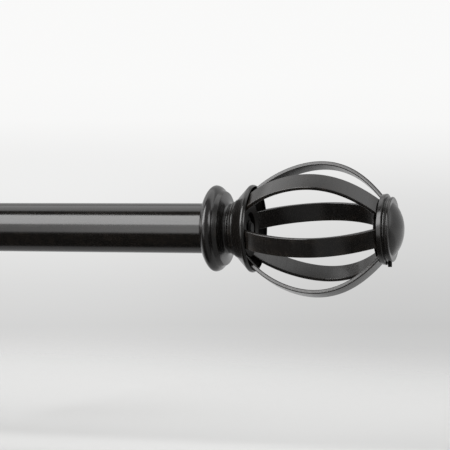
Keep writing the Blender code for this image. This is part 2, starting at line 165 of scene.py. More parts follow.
def soften(bm: bmesh.types.BMesh, width: float, angle: float = 28.0, segments: int = 3) -> None:
    """Rounds every edge that turns by more than an angle and marks the rounding for wear.

    Args:
        bm: the mesh to change.
        width: the bevel's offset, in metres.
        angle: the least turn that counts as an edge, in degrees.
        segments: faces across the rounding.
    """
    sharp = [e for e in bm.edges if e.is_manifold and e.calc_face_angle() > math.radians(angle)]
    made = bmesh.ops.bevel(
        bm,
        geom=sharp,
        offset=width,
        offset_type="OFFSET",
        affect="EDGES",
        segments=segments,
        profile=0.5,
        material=-1,
        clamp_overlap=True,
    )
    layer = bm.verts.layers.float.get(EDGE_LAYER) or bm.verts.layers.float.new(EDGE_LAYER)
    for face in made["faces"]:
        for vert in face.verts:
            vert[layer] = 1.0


def slab(outline: Outline, depth: float) -> bmesh.types.BMesh:
    """Extrudes an outline of (y, z) points along X, centred on X = 0.

    Args:
        outline: corners in order.
        depth: thickness along X.

    Returns:
        A closed bmesh.
    """
    bm = bmesh.new()
    face = bm.faces.new([bm.verts.new((-depth / 2, y, z)) for y, z in outline])
    grown = bmesh.ops.extrude_face_region(bm, geom=[face])["geom"]
    moved = only(grown, bmesh.types.BMVert)
    bmesh.ops.translate(bm, verts=moved, vec=(depth, 0, 0))
    bmesh.ops.recalc_face_normals(bm, faces=bm.faces)
    return bm


def add_thread(
    bm: bmesh.types.BMesh, start: float, end: float, core: float, crest: float, pitch: float
) -> None:
    """Winds a closed helical ridge around X.

    Args:
        bm: the mesh that the ridge is added to.
        start: where the ridge starts along X.
        end: where it ends.
        core: radius that its foot is sunk to.
        crest: radius of its top.
        pitch: advance per turn.
    """
    per_turn = 20
    turns = (end - start - pitch) / pitch
    steps = int(turns * per_turn)
    half = 0.42 * pitch
    corners = ((start, core), (start + half, crest), (start + 2 * half, core))
    verts = [bm.verts.new((along, 0.0, radius)) for along, radius in corners]
    first = bm.faces.new(verts)
    edges = list(first.edges)
    made = bmesh.ops.spin(
        bm,
        geom=verts + edges,
        cent=(0, 0, 0),
        axis=(1, 0, 0),
        dvec=(pitch / per_turn, 0, 0),
        angle=math.tau * steps / per_turn,
        steps=steps,
        use_merge=False,
    )
    last = only(made["geom_last"], bmesh.types.BMVert)
    bm.faces.new(last)
    bmesh.ops.recalc_face_normals(bm, faces=bm.faces)


def carve(bm: bmesh.types.BMesh, cutters: Iterable[bmesh.types.BMesh]) -> bmesh.types.BMesh:
    """Subtracts closed meshes from a closed mesh.

    Args:
        bm: the mesh to cut; it is freed.
        cutters: what to take away; they are freed.

    Returns:
        The cut mesh.
    """
    piece = loose_object("carve_body", bm)
    helpers = [loose_object(f"carve_tool_{n}", cutter) for n, cutter in enumerate(cutters)]
    for helper in helpers:
        modifier = piece.modifiers.new(helper.name, "BOOLEAN")
        modifier.operation = "DIFFERENCE"
        modifier.solver = "EXACT"
        modifier.object = helper
    bpy.context.view_layer.update()
    graph = bpy.context.evaluated_depsgraph_get()
    result = bmesh.new()
    result.from_object(piece, graph)
    for item in (piece, *helpers):
        mesh = item.data
        bpy.data.objects.remove(item)
        bpy.data.meshes.remove(mesh)
    bmesh.ops.remove_doubles(result, verts=result.verts, dist=2e-6)
    return result


def only(geometry: Iterable[object], kind: type) -> list:
    """The elements of one kind among a mesh operator's results."""
    return [item for item in geometry if isinstance(item, kind)]


def moved_by(bm: bmesh.types.BMesh, place: Matrix) -> bmesh.types.BMesh:
    """Moves a whole mesh and gives it back."""
    bmesh.ops.transform(bm, matrix=place, verts=bm.verts)
    return bm


def bar(start: float, end: float, radius: float, sides: int) -> bmesh.types.BMesh:
    """A round bar along X, for pins and the holes of pins."""
    return spun([(start, 0.0), (start, radius), (end, radius), (end, 0.0)], sides)


def block(size: Sequence[float]) -> bmesh.types.BMesh:
    """A cuboid of a given size around the origin."""
    bm = bmesh.new()
    bmesh.ops.create_cube(bm, size=1.0)
    bmesh.ops.scale(bm, vec=size, verts=bm.verts)
    return bm

def loose_object(name: str, bm: bmesh.types.BMesh) -> bpy.types.Object:
    """Links a bmesh as an object of its own and frees the bmesh."""
    mesh = bpy.data.meshes.new(name)
    bm.to_mesh(mesh)
    bm.free()
    piece = bpy.data.objects.new(name, mesh)
    bpy.context.scene.collection.objects.link(piece)
    return piece


def centre_of(node: str) -> Vector:
    """The middle of a CAD node's box."""
    low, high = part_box(node)
    return (low + high) / 2


def half_size(node: str, axis: int) -> float:
    """Half of a CAD node's extent along an axis; a turned node's radius."""
    low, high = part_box(node)
    return (high[axis] - low[axis]) / 2


# Shader building


class NodeBench:
    """Adds and joins nodes in one tree."""

    def __init__(self, tree: bpy.types.NodeTree) -> None:
        """Works on a tree that exists."""
        self.tree = tree

    def add(self, kind: str, **settings: object) -> bpy.types.Node:
        """Adds a node.

        Args:
            kind: the node's type name.
            settings: attributes to set on the node.

        Returns:
            The new node.
        """
        node = self.tree.nodes.new(kind)
        for name, value in settings.items():
            setattr(node, name, value)
        return node

    def feed(self, socket: bpy.types.NodeSocket, value: object) -> None:
        """Joins an output to a socket, or sets the socket when given a number or colour."""
        if isinstance(value, bpy.types.NodeSocket):
            self.tree.links.new(value, socket)
        else:
            socket.default_value = value

    def fill(self, node: bpy.types.Node, values: dict[str, object]) -> bpy.types.Node:
        """Feeds a node's inputs by name and gives the node back."""
        for name, value in values.items():
            self.feed(node.inputs[name], value)
        return node

    def math(self, operation: str, *values: object, clamp: bool = False) -> bpy.types.NodeSocket:
        """A Math node's result.

        Args:
            operation: such as MULTIPLY.
            values: sockets or numbers.
            clamp: keep the result from 0 to 1.

        Returns:
            The output socket.
        """
        node = self.add("ShaderNodeMath", operation=operation, use_clamp=clamp)
        for socket, value in zip(node.inputs, values):
            self.feed(socket, value)
        return node.outputs[0]

    def vector_math(self, operation: str, *values: object) -> bpy.types.Node:
        """A Vector Math node, fed with its operands in order."""
        node = self.add("ShaderNodeVectorMath", operation=operation)
        for socket, value in zip(node.inputs, values):
            self.feed(socket, value)
        return node

    def ramp(
        self,
        value: object,
        low: float,
        high: float,
        to_low: float = 0.0,
        to_high: float = 1.0,
        smooth: bool = True,
    ) -> bpy.types.NodeSocket:
        """Maps a value from one range to another, clamped.

        Args:
            value: socket to map.
            low: input that gives to_low.
            high: input that gives to_high.
            to_low: result at low.
            to_high: result at high.
            smooth: ease both ends.

        Returns:
            The output socket.
        """
        kind = "SMOOTHSTEP" if smooth else "LINEAR"
        node = self.add("ShaderNodeMapRange", interpolation_type=kind, clamp=True)
        limits = {"From Min": low, "From Max": high, "To Min": to_low, "To Max": to_high}
        return self.fill(node, {**limits, "Value": value}).outputs["Result"]

    def noise(
        self, vector: object, scale: object, detail: float, rough: float = 0.5
    ) -> bpy.types.NodeSocket:
        """A noise texture's value.

        Args:
            vector: coordinates.
            scale: cells per metre.
            detail: octaves.
            rough: how strong the finer octaves are.

        Returns:
            The factor output.
        """
        node = self.add("ShaderNodeTexNoise")
        settings = {"Vector": vector, "Scale": scale, "Detail": detail, "Roughness": rough}
        return self.fill(node, settings).outputs["Fac"]

    def blend(self, factor: object, first: object, second: object) -> bpy.types.NodeSocket:
        """Mixes two colours.

        Args:
            factor: 0 gives the first, 1 the second.
            first: colour of three parts, or socket.
            second: colour of three parts, or socket.

        Returns:
            The mixed colour.
        """
        node = self.add("ShaderNodeMix", data_type="RGBA", clamp_factor=True)
        self.feed(node.inputs[0], factor)
        for place, colour in ((6, first), (7, second)):
            self.feed(node.inputs[place], (*colour, 1) if isinstance(colour, tuple) else colour)
        return node.outputs[2]

    def coordinates(self) -> bpy.types.NodeSocket:
        """Object coordinates."""
        return self.add("ShaderNodeTexCoord").outputs["Object"]

    def edge(self) -> bpy.types.NodeSocket:
        """How far a point belongs to a rounded edge."""
        return self.add("ShaderNodeAttribute", attribute_name=EDGE_LAYER).outputs["Fac"]


def new_group(
    name: str, inputs: Sequence[tuple[str, str]], outputs: Sequence[tuple[str, str]]
) -> tuple[bpy.types.NodeTree, NodeBench, bpy.types.Node, bpy.types.Node]:
    """Starts a shader node group.

    Args:
        name: the group's name.
        inputs: (name, socket type) of each input.
        outputs: (name, socket type) of each output.

    Returns:
        The group, a bench on it, its input node and its output node.
    """
    group = bpy.data.node_groups.new(name, "ShaderNodeTree")
    for direction, sockets in (("INPUT", inputs), ("OUTPUT", outputs)):
        for label, kind in sockets:
            group.interface.new_socket(name=label, in_out=direction, socket_type=kind)
    bench = NodeBench(group)
    return group, bench, bench.add("NodeGroupInput"), bench.add("NodeGroupOutput")


def skin_group() -> bpy.types.NodeTree:
    """The slight unevenness of any coat: a slow mottle, a pebbled height and specks of dust.

    Returns:
        A group that turns coordinates into Mottle, Height and Specks.
    """
    group, bench, into, out = new_group(
        "coat_skin",
        [("Vector", "NodeSocketVector"), ("Pebble", "NodeSocketFloat")],
        [(label, "NodeSocketFloat") for label in ("Mottle", "Height", "Specks")],
    )
    where = into.outputs["Vector"]
    slow = bench.noise(where, 42.0, 3.0, 0.6)
    bench.feed(out.inputs["Mottle"], bench.ramp(slow, 0.3, 0.72))
    bench.feed(out.inputs["Height"], bench.noise(where, into.outputs["Pebble"], 2.0, 0.45))
    fine = bench.noise(where, 2600.0, 1.0)
    drift = bench.noise(where, 160.0, 2.0)
    specks = bench.math("MULTIPLY", bench.ramp(fine, 0.70, 0.78), bench.ramp(drift, 0.45, 0.7))
    bench.feed(out.inputs["Specks"], specks)
    return group


def wear_group() -> bpy.types.NodeTree:
    """Where handling has thinned a coat: along rounded edges, broken up by noise.

    Returns:
        A group that turns coordinates and an edge value into a Wear mask.
    """
    group, bench, into, out = new_group(
        "edge_wear",
        [
            ("Vector", "NodeSocketVector"),
            ("Edge", "NodeSocketFloat"),
            ("Amount", "NodeSocketFloat"),
        ],
        [("Wear", "NodeSocketFloat")],
    )
    patches = bench.ramp(bench.noise(into.outputs["Vector"], 210.0, 5.0, 0.65), 0.42, 0.68)
    worn = bench.math("MULTIPLY", patches, into.outputs["Edge"])
    bench.feed(out.inputs["Wear"], bench.math("MULTIPLY", worn, into.outputs["Amount"], clamp=True))
    return group


def scratch_group() -> bpy.types.NodeTree:
    """Hairlines left by turning, rolling or brushing, drawn out across one direction.

    Returns:
        A group that turns coordinates and a stretch into a Lines value.
    """
    group, bench, into, out = new_group(
        "hairlines",
        [("Vector", "NodeSocketVector"), ("Stretch", "NodeSocketVector")],
        [("Lines", "NodeSocketFloat")],
    )
    pulled = bench.vector_math("MULTIPLY", into.outputs["Vector"], into.outputs["Stretch"])
    bench.feed(out.inputs["Lines"], bench.noise(pulled.outputs[0], 1.0, 3.0, 0.7))
    return group


@dataclass(frozen=True)
class SharedGroups:
    """The node groups that several finishes place."""

    skin: bpy.types.NodeTree = field(default_factory=skin_group)
    wear: bpy.types.NodeTree = field(default_factory=wear_group)
    hairlines: bpy.types.NodeTree = field(default_factory=scratch_group)


def placed_group(bench: NodeBench, group: bpy.types.NodeTree, **values: object) -> bpy.types.Node:
    """Places a group in a material.

    Args:
        bench: bench on the material's tree.
        group: the group.
        values: sockets or numbers for its inputs, by name.

    Returns:
        The group node.
    """
    node = bench.add("ShaderNodeGroup")
    node.node_tree = group
    return bench.fill(node, values)


def new_material(name: str) -> tuple[bpy.types.Material, NodeBench, bpy.types.Node]:
    """Starts a material.

    Args:
        name: its name.

    Returns:
        The material, a bench on its tree and its Principled node.
    """
    material = bpy.data.materials.new(name)
    material.use_nodes = True
    tree = material.node_tree
    return material, NodeBench(tree), tree.nodes["Principled BSDF"]


class Slot(Enum):
    """The material slots that the finishes fill."""

    LACQUER = "black_bronze"
    ZINC = "zinc_plate"
    OXIDE = "black_oxide"
    NYLON = "black_nylon"


@dataclass(frozen=True)
class Coating:
    """A finished material and the slot that it fills."""

    material: bpy.types.Material
    slot: Slot


class Work(NamedTuple):
    """A material in the making, with what its finish draws on."""

    bench: NodeBench
    shader: bpy.types.Node
    groups: SharedGroups
    where: bpy.types.NodeSocket
    skin: bpy.types.Node


@dataclass(frozen=True)
class Finish:
    """What all finishes share: a name, a slot, a gloss, a grain and a relief."""

    name: str
    slot: Slot
    roughness: float
    pebble: float
    relief: Point  # strength and distance of the bump

    def shade(self, work: Work) -> bpy.types.NodeSocket:
        """Sets the shader's colour and gloss.

        Args:
            work: the material in the making.

        Returns:
            The height that the bump follows.
        """
        raise NotImplementedError

    def build(self, groups: SharedGroups) -> Coating:
        """Builds the material.

        Args:
            groups: the shared node groups.

        Returns:
            The material with its slot.
        """
        material, bench, shader = new_material(self.name)
        where = bench.coordinates()
        skin = placed_group(bench, groups.skin, Vector=where, Pebble=self.pebble)
        height = self.shade(Work(bench, shader, groups, where, skin))
        strength, distance = self.relief
        bump = bench.fill(
            bench.add("ShaderNodeBump"),
            {"Strength": strength, "Distance": distance, "Height": height},
        )
        bench.feed(shader.inputs["Normal"], bump.outputs["Normal"])
        return Coating(material, self.slot)


@dataclass(frozen=True)
class Lacquer(Finish):
    """Glossy baked lacquer, nearly black with a warm cast, over metal."""

    name: str = "black_bronze_lacquer"
    slot: Slot = Slot.LACQUER
    roughness: float = 0.21
    pebble: float = 520.0
    relief: Point = (0.035, 0.00025)
    deep: Triple = (0.0052, 0.0046, 0.0041)
    warm: Triple = (0.0062, 0.0052, 0.0045)
    rubbed: Triple = (0.040, 0.028, 0.019)
    dust: Triple = (0.12, 0.11, 0.10)
    stretch: Triple = (900.0, 40.0, 40.0)
    wear: float = 0.22
    coat: float = 0.2
    shine: float = 0.5

    def shade(self, work: Work) -> bpy.types.NodeSocket:
        """Mottled body, rubbed edges, dust, and a gloss that the hairlines break up."""
        bench, shader, groups, where, skin = work
        edge = bench.edge()
        worn = placed_group(bench, groups.wear, Vector=where, Edge=edge, Amount=self.wear)
        pulled = placed_group(bench, groups.hairlines, Vector=where, Stretch=self.stretch)
        wear, lines = worn.outputs["Wear"], pulled.outputs["Lines"]
        mottle, specks = skin.outputs["Mottle"], skin.outputs["Specks"]
        rubbed = bench.blend(wear, bench.blend(mottle, self.deep, self.warm), self.rubbed)
        dusted = bench.blend(bench.math("MULTIPLY", specks, 0.12), rubbed, self.dust)
        rough = bench.ramp(lines, 0.35, 0.75, self.roughness - 0.02, self.roughness + 0.05)
        cloudy = bench.math("MULTIPLY_ADD", mottle, 0.035, rough)
        speckled = bench.math("MULTIPLY_ADD", specks, 0.1, cloudy)
        settings = {
            "Base Color": dusted,
            "Roughness": bench.math("MULTIPLY_ADD", wear, 0.25, speckled),
            "IOR": 1.55,
            "Specular IOR Level": self.shine,
            "Coat Weight": self.coat,
            "Coat Roughness": 0.1,
        }
        bench.fill(shader, settings)
        return bench.math("MULTIPLY_ADD", lines, 0.12, skin.outputs["Height"])


@dataclass(frozen=True)
class ZincPlate(Finish):
    """Bright zinc over steel, for fasteners."""

    name: str = "zinc_plate"
    slot: Slot = Slot.ZINC
    roughness: float = 0.30
    pebble: float = 1800.0
    relief: Point = (0.12, 0.0002)
    pale: Triple = (0.62, 0.63, 0.64)
    blue: Triple = (0.46, 0.48, 0.51)
    stretch: Triple = (1400.0, 60.0, 60.0)

    def shade(self, work: Work) -> bpy.types.NodeSocket:
        """Cloudy bright metal whose gloss follows its hairlines."""
        bench, shader, groups, where, skin = work
        pulled = placed_group(bench, groups.hairlines, Vector=where, Stretch=self.stretch)
        lines = pulled.outputs["Lines"]
        low, high = self.roughness - 0.06, self.roughness + 0.16
        settings = {
            "Base Color": bench.blend(skin.outputs["Mottle"], self.pale, self.blue),
            "Metallic": 1.0,
            "Roughness": bench.ramp(lines, 0.3, 0.75, low, high),
        }
        bench.fill(shader, settings)
        return lines


@dataclass(frozen=True)
class BlackOxide(Finish):
    """Oiled black oxide on steel, for the small screws and nuts."""

    name: str = "black_oxide"
    slot: Slot = Slot.OXIDE
    roughness: float = 0.52
    pebble: float = 2400.0
    relief: Point = (0.15, 0.0001)
    dark: Triple = (0.0075, 0.0075, 0.008)
    rubbed: Triple = (0.035, 0.034, 0.033)

    def shade(self, work: Work) -> bpy.types.NodeSocket:
        """Dark metal, paler where it is mottled and where its edges are rubbed."""
        bench, shader, groups, where, skin = work
        worn = placed_group(bench, groups.wear, Vector=where, Edge=bench.edge(), Amount=0.8)
        mottle = bench.math("MULTIPLY", skin.outputs["Mottle"], 0.3)
        tone = bench.math("MAXIMUM", worn.outputs["Wear"], mottle)
        low, high = self.roughness - 0.06, self.roughness + 0.12
        settings = {
            "Base Color": bench.blend(tone, self.dark, self.rubbed),
            "Metallic": 1.0,
            "Roughness": bench.ramp(skin.outputs["Height"], 0.3, 0.7, low, high),
        }
        bench.fill(shader, settings)
        return skin.outputs["Height"]


@dataclass(frozen=True)
class Nylon(Finish):
    """Moulded black nylon with a fine spark-eroded grain."""

    name: str = "black_nylon"
    slot: Slot = Slot.NYLON
    roughness: float = 0.42
    pebble: float = 3200.0
    relief: Point = (0.25, 0.0002)
    dark: Triple = (0.012, 0.012, 0.012)
    pale: Triple = (0.022, 0.022, 0.023)

    def shade(self, work: Work) -> bpy.types.NodeSocket:
        """A mottled black whose gloss follows the grain."""
        bench, shader, _, _, skin = work
        low, high = self.roughness - 0.05, self.roughness + 0.08
        settings = {
            "Base Color": bench.blend(skin.outputs["Mottle"], self.dark, self.pale),
            "Roughness": bench.ramp(skin.outputs["Height"], 0.3, 0.7, low, high),
        }
        bench.fill(shader, settings)
        return skin.outputs["Height"]


@dataclass(frozen=True)
class FinishSet:
    """The finishes in use, by what they are for."""

    lacquer: Coating
    rod_lacquer: Coating
    # painted shade: a dull, barely reflective copy of the lacquer for the inside of the cup
    painted_shade_lacquer: Coating
    arm_lacquer: Coating
    zinc: Coating
    oxide: Coating
    nylon: Coating

    @classmethod
    def build(cls) -> "FinishSet":
        """Builds every finish on one set of shared groups."""
        groups = SharedGroups()
        around = (14.0, 900.0, 900.0)
        rod = Lacquer(name="rod_lacquer", roughness=0.15, stretch=around, wear=0.1)
        # painted shade: this copy of the lacquer hardly reflects, so the cup's inside and base ring
        # stay black as if in shadow
        inner = Lacquer(name="painted_shade_lacquer", roughness=0.5, wear=0.05, coat=0.0, shine=0.08)
        arm = Lacquer(name="arm_lacquer", stretch=(40.0, 900.0, 40.0))
        kinds = (Lacquer(), rod, inner, arm, ZincPlate(), BlackOxide(), Nylon())
        return cls(*(kind.build(groups) for kind in kinds))


def deliver(
    node: str, bm: bmesh.types.BMesh, coating: Coating, body: str, place: Matrix
) -> bpy.types.Object:
    """Makes the finished object that stands for a CAD node and hands it to the frame.

    Args:
        node: the CAD node; the object is named after it.
        bm: its mesh; it is freed.
        coating: its material and slot.
        body: the CAD body that it rides on.
        place: where the mesh goes.

    Returns:
        The object.
    """
    piece = loose_object(f"{node}_fine", moved_by(bm, place))
    piece.data.materials.append(coating.material)
    piece.data.shade_smooth()
    piece.data.set_sharp_from_angle(angle=SHARP_TURN)
    weighted = piece.modifiers.new("Flat faces stay flat", "WEIGHTED_NORMAL")
    weighted.keep_sharp = True
    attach(piece, body)
    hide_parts(node)
    log.info("%s: %d faces on %s", piece.name, len(piece.data.polygons), body)
    return piece


# Sub-assemblies


@dataclass
class Finial:
    """One end of the rod: collar, cup, cage of straps, cap and the fasteners inside.

    Lengths run outwards from the collar's face, and radii from the rod's axis.
    """

    side: Side
    tube_radius: float
    crest: Point = (5.0 * MM, 21.8 * MM)
    rim: Point = (8.2 * MM, 19.8 * MM)
    step: Point = (10.3 * MM, 18.45 * MM)
    neck: Point = (12.8 * MM, 12.6 * MM)
    shoulder: Point = (14.6 * MM, 13.6 * MM)
    cone_start: Point = (16.1 * MM, 14.1 * MM)
    cone_end: Point = (23.4 * MM, 21.75 * MM)
    lip_centre: Point = (24.2 * MM, 20.55 * MM)
    lip_roll: float = 1.5 * MM
    lip_bore: float = 21.35 * MM
    cage_start: Point = (20.3 * MM, 14.65 * MM)
    cage_apex: Point = (58.2 * MM, 33.8 * MM)
    cage_end: Point = (91.8 * MM, 14.7 * MM)
    cage_slopes: Point = (1.25, -1.21)
    cage_handles: tuple[float, float, float, float] = (16.2 * MM, 12.3 * MM, 15.1 * MM, 12.7 * MM)
    strap_width: float = 9.5 * MM
    strap_thickness: float = 2.0 * MM
    strap_spans: int = 96
    first_strap: float = math.radians(-15)
    strap_count: int = 6
    stud_radius: float = 4.0 * MM
    stud_pitch: float = 1.25 * MM
    thread_gap: float = 0.2 * MM
    cup_flat: Point = (13.6 * MM, 12.62 * MM)
    cup_floor: float = 16.8 * MM
    screw_place: float = 94.0 * MM

    def __post_init__(self) -> None:
        """Reads the finial's place from the frame."""
        name = self.side.value
        low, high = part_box(f"collar_{name}")
        face = low.x if self.side is Side.RIGHT else high.x
        axis = centre_of(f"collar_{name}")
        self.origin = Vector((face, axis.y, axis.z))
        self.place = Matrix.Translation(self.origin) @ Matrix.Rotation(self.side.turn, 4, "Z")
        self.turning_body = f"finial_{name}"
        self.fixed_body = "rod" if self.side is Side.RIGHT else "inner_rod"

    def reach(self, node: str) -> tuple[float, float]:
        """A CAD node's nearest and furthest point along the finial."""
        low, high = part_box(f"{node}_{self.side.value}")
        ends = (abs(low.x - self.origin.x), abs(high.x - self.origin.x))
        return min(ends), max(ends)

    def collar(self) -> bmesh.types.BMesh:
        """The turned ring against the rod, with its neck."""
        seat = self.tube_radius + 0.05 * MM
        bore = self.stud_radius + self.thread_gap
        rod_radius = half_size("outer_tube", 2)
        start = (0.0, rod_radius + 0.35 * MM)
        outline = [(0.25 * MM, seat), (0.0, seat + 0.2 * MM), start]
        outline += bezier(start, (0.3 * MM, 16.5 * MM), (2.8 * MM, self.crest[1]), self.crest, 24)
        leave, arrive = (6.2 * MM, self.crest[1]), (7.5 * MM, 21.0 * MM)
        outline += bezier(self.crest, leave, arrive, self.rim, 14)
        outline += [(8.4 * MM, 19.55 * MM), self.step]
        waist = (self.neck[0] - 0.4 * MM, self.neck[1])
        outline += bezier(self.step, (10.8 * MM, 16.4 * MM), (11.1 * MM, self.neck[1]), waist, 18)
        outline.append(self.neck)
        outline += [(self.neck[0], bore), (3.2 * MM, bore), (3.2 * MM, seat)]
        bm = spun(outline)
        soften(bm, 0.1 * MM, 40.0, 2)
        return bm

    def cup(self) -> bmesh.types.BMesh:
        """The flared cup that the straps come out of."""
        _, mouth = self.reach("cup")
        foot = self.neck[0] + 0.02 * MM
        bore = self.stud_radius + self.thread_gap
        leave, arrive = (14.2 * MM, 12.66 * MM), (14.4 * MM, 13.2 * MM)
        outline = [(foot, bore), (foot, self.neck[1]), self.cup_flat]
        outline += bezier(self.cup_flat, leave, arrive, self.shoulder, 8)
        outline += [(15.2 * MM, self.shoulder[1] - 0.15 * MM), self.cone_start]
        outline += arc((16.6 * MM, 14.1 * MM), 0.6 * MM, 130, 40, 5)
        outline += [(17.4 * MM, 15.35 * MM), self.cone_end]
        outline += arc(self.lip_centre, self.lip_roll, 115, 35, 12)
        outline += arc((mouth - 0.3 * MM, self.lip_bore), 0.3 * MM, 0, -90, 3)
        outline += [(mouth - 1.6 * MM, self.lip_bore - 0.3 * MM), (17.4 * MM, 13.6 * MM)]
        outline += [(self.cup_floor, 12.8 * MM), (self.cup_floor, bore)]
        bm = spun(outline)
        soften(bm, 0.12 * MM, 40.0)
        # painted shade: faces inside the cup past its floor take the second, dull lacquer
        for face in bm.faces:
            centre = face.calc_center_median()
            outwards = Vector((0.0, centre.y, centre.z))
            if centre.x > self.cup_floor - 0.1 * MM and face.normal.dot(outwards) < 0:
                face.material_index = 1
        return bm

    def cage_line(self, steps: int) -> Outline:
        """The middle line of a strap's outer face, from the cup to the tip."""
        start, apex, end = (Vector(p) for p in (self.cage_start, self.cage_apex, self.cage_end))
        leaving = Vector((1.0, self.cage_slopes[0])).normalized()
        arriving = Vector((1.0, self.cage_slopes[1])).normalized()
        level = Vector((1.0, 0.0))
        first, before, after, last = self.cage_handles
        line = [tuple(start)]
        line += bezier(start, start + first * leaving, apex - before * level, apex, steps // 2)
        line += bezier(apex, apex + after * level, end - last * arriving, end, steps // 2)
        return line

    def strap(self) -> bmesh.types.BMesh:
        """One flat strap bent to the cage line, standing on +Z."""
        line = self.cage_line(self.strap_spans)
        bm = bmesh.new()
        bmesh.ops.create_grid(bm, x_segments=self.strap_spans, y_segments=2, size=1.0)
        for vert in bm.verts:
            along, radius = line[round((vert.co.x + 1) / 2 * self.strap_spans)]
            vert.co = (along, vert.co.y * self.strap_width / 2, radius)
        bmesh.ops.recalc_face_normals(bm, faces=bm.faces)
        if max(bm.faces, key=lambda f: f.calc_center_median().z).normal.z < 0:
            bmesh.ops.reverse_faces(bm, faces=bm.faces)
        bmesh.ops.solidify(bm, geom=bm.faces[:], thickness=self.strap_thickness)
        soften(bm, 0.45 * MM, 60.0)
        return bm

    def base_ring(self) -> bmesh.types.BMesh:
        """The ring inside the cup that the straps are welded to."""
        near, far = self.reach("base_ring")
        outline = [(near, 8.2 * MM), (near, 11.8 * MM), (far, 14.1 * MM), (far, 8.2 * MM)]
        bm = spun(outline, SMALL_SIDES)
        soften(bm, 0.25 * MM)
        return bm

    def tip_hub(self) -> bmesh.types.BMesh:
        """The disc that gathers the straps under the cap."""
        near, far = self.reach("tip_hub")
        bore = 2.1 * MM
        outline = [(near, bore), (near, 14.9 * MM), (far, 11.7 * MM), (far, bore)]
        bm = spun(outline, SMALL_SIDES)
        soften(bm, 0.25 * MM)
        return bm

    def cap(self) -> bmesh.types.BMesh:
        """The flanged cap with its bead and low dome."""
        near, far = self.reach("cap")
        top = far + 0.6 * MM
        base = (95.9 * MM, 13.4 * MM)
        bulge = top - base[0]
        dome = (base[1] ** 2 + bulge**2) / (2 * bulge)
        lean = math.degrees(math.asin(base[1] / dome))
        bore = 2.2 * MM
        outline = [(96.2 * MM, 0.0), (96.2 * MM, bore), (92.1 * MM, bore), (92.1 * MM, 16.0 * MM)]
        outline += [(near, 17.15 * MM), (near + 0.2 * MM, 17.3 * MM), (92.3 * MM, 17.55 * MM)]
        outline += arc((92.5 * MM, 17.2 * MM), 0.36 * MM, 100, 10, 6)
        outline += [(92.95 * MM, 16.6 * MM), (93.1 * MM, 16.15 * MM), (93.7 * MM, 16.22 * MM)]
        outline += [(93.95 * MM, 15.8 * MM), (94.55 * MM, 15.75 * MM)]
        outline += arc((95.3 * MM, 15.35 * MM), 0.65 * MM, 150, -10, 12)
        outline += [(95.9 * MM, 14.0 * MM), base]
        outline += arc((top - dome, 0.0), dome, lean, 0, 48)[1:]
        outline[-1] = (top, 0.0)
        hole = self.set_screw_column(1.15 * MM, 12.4 * MM, 22.0 * MM, SMALL_SIDES)
        return carve(spun(outline), [hole])

    def set_screw_column(
        self, radius: float, inner: float, outer: float, sides: int
    ) -> bmesh.types.BMesh:
        """A round bar through the cap's groove, pointing down.

        Args:
            radius: the bar's radius.
            inner: how far from the axis it starts.
            outer: how far from the axis it ends.
            sides: how many sides it has.

        Returns:
            A closed bmesh.
        """
        place = Heading.DOWN.placed_at(Vector((self.screw_place, 0.0, 0.0)))
        return moved_by(bar(inner, outer, radius, sides), place)

    def set_screw(self) -> bmesh.types.BMesh:
        """Small screw that pins the cap, with a hexagon socket in its end."""
        bm = self.set_screw_column(1.0 * MM, 12.8 * MM, 18.4 * MM, 32)
        soften(bm, 0.2 * MM)
        socket = self.set_screw_column(0.55 * MM, 16.8 * MM, 19.0 * MM, 6)
        return carve(bm, [socket])

    def cap_screw(self) -> bmesh.types.BMesh:
        """Button-head screw with a hexagon socket, head towards the cup."""
        near, far = self.reach("cap_screw")
        seat, rim, shank, hexagon = near + 2.3 * MM, 3.8 * MM, 1.9 * MM, 1.45 * MM
        leave, arrive = (near, 2.0 * MM), (near + 0.6 * MM, 3.7 * MM)
        outline = [(near, 0.0)]
        outline += bezier((near, 0.0), leave, arrive, (near + 1.9 * MM, rim), 12)
        outline += [(seat, rim), (seat, shank), (far, shank), (far, 0.0)]
        socket = bmesh.new()
        bmesh.ops.create_cone(
            socket, cap_ends=True, segments=6, radius1=hexagon, radius2=hexagon, depth=3.0 * MM
        )
        place = Matrix.Translation((near, 0, 0)) @ Matrix.Rotation(math.pi / 2, 4, "Y")
        return carve(spun(outline, SMALL_SIDES), [moved_by(socket, place)])

    def stud(self) -> bmesh.types.BMesh:
        """Headless stud with a rolled thread."""
        near = -8.5 * MM
        _, far = self.reach("stud")
        core = self.stud_radius - 0.65 * MM
        outline = [(near, 0.0), (near, core - 0.3 * MM), (near + 0.6 * MM, core)]
        outline += [(far - 0.6 * MM, core), (far, core - 0.5 * MM), (far, 0.0)]
        bm = spun(outline, SMALL_SIDES)
        ridge = (near + 0.5 * MM, far - 0.1 * MM, core - 0.1 * MM)
        add_thread(bm, *ridge, self.stud_radius, self.stud_pitch)
        return bm

    def lock_nut(self) -> bmesh.types.BMesh:
        """Hexagon nut, chamfered on both faces."""
        near, far = self.reach("lock_nut")
        flats = half_size(f"lock_nut_{self.side.value}", 1)
        corner = 2 * flats / math.sqrt(3)
        chamfer = 0.6 * (corner - flats)
        bore = self.stud_radius + 0.05 * MM
        outline = [(near, bore), (near, flats - 0.2 * MM), (near + chamfer, corner)]
        outline += [(far - chamfer, corner), (far, flats - 0.2 * MM), (far, bore)]
        bm = spun(outline, SLEEVE_SIDES)
        for side in range(6):
            angle = math.tau * side / 6
            outwards = Vector((0.0, math.cos(angle), math.sin(angle)))
            cut = bmesh.ops.bisect_plane(
                bm,
                geom=bm.verts[:] + bm.edges[:] + bm.faces[:],
                plane_co=outwards * flats,
                plane_no=outwards,
                clear_outer=True,
            )
            bmesh.ops.edgeloop_fill(bm, edges=only(cut["geom_cut"], bmesh.types.BMEdge))
        bmesh.ops.recalc_face_normals(bm, faces=bm.faces)
        return bm

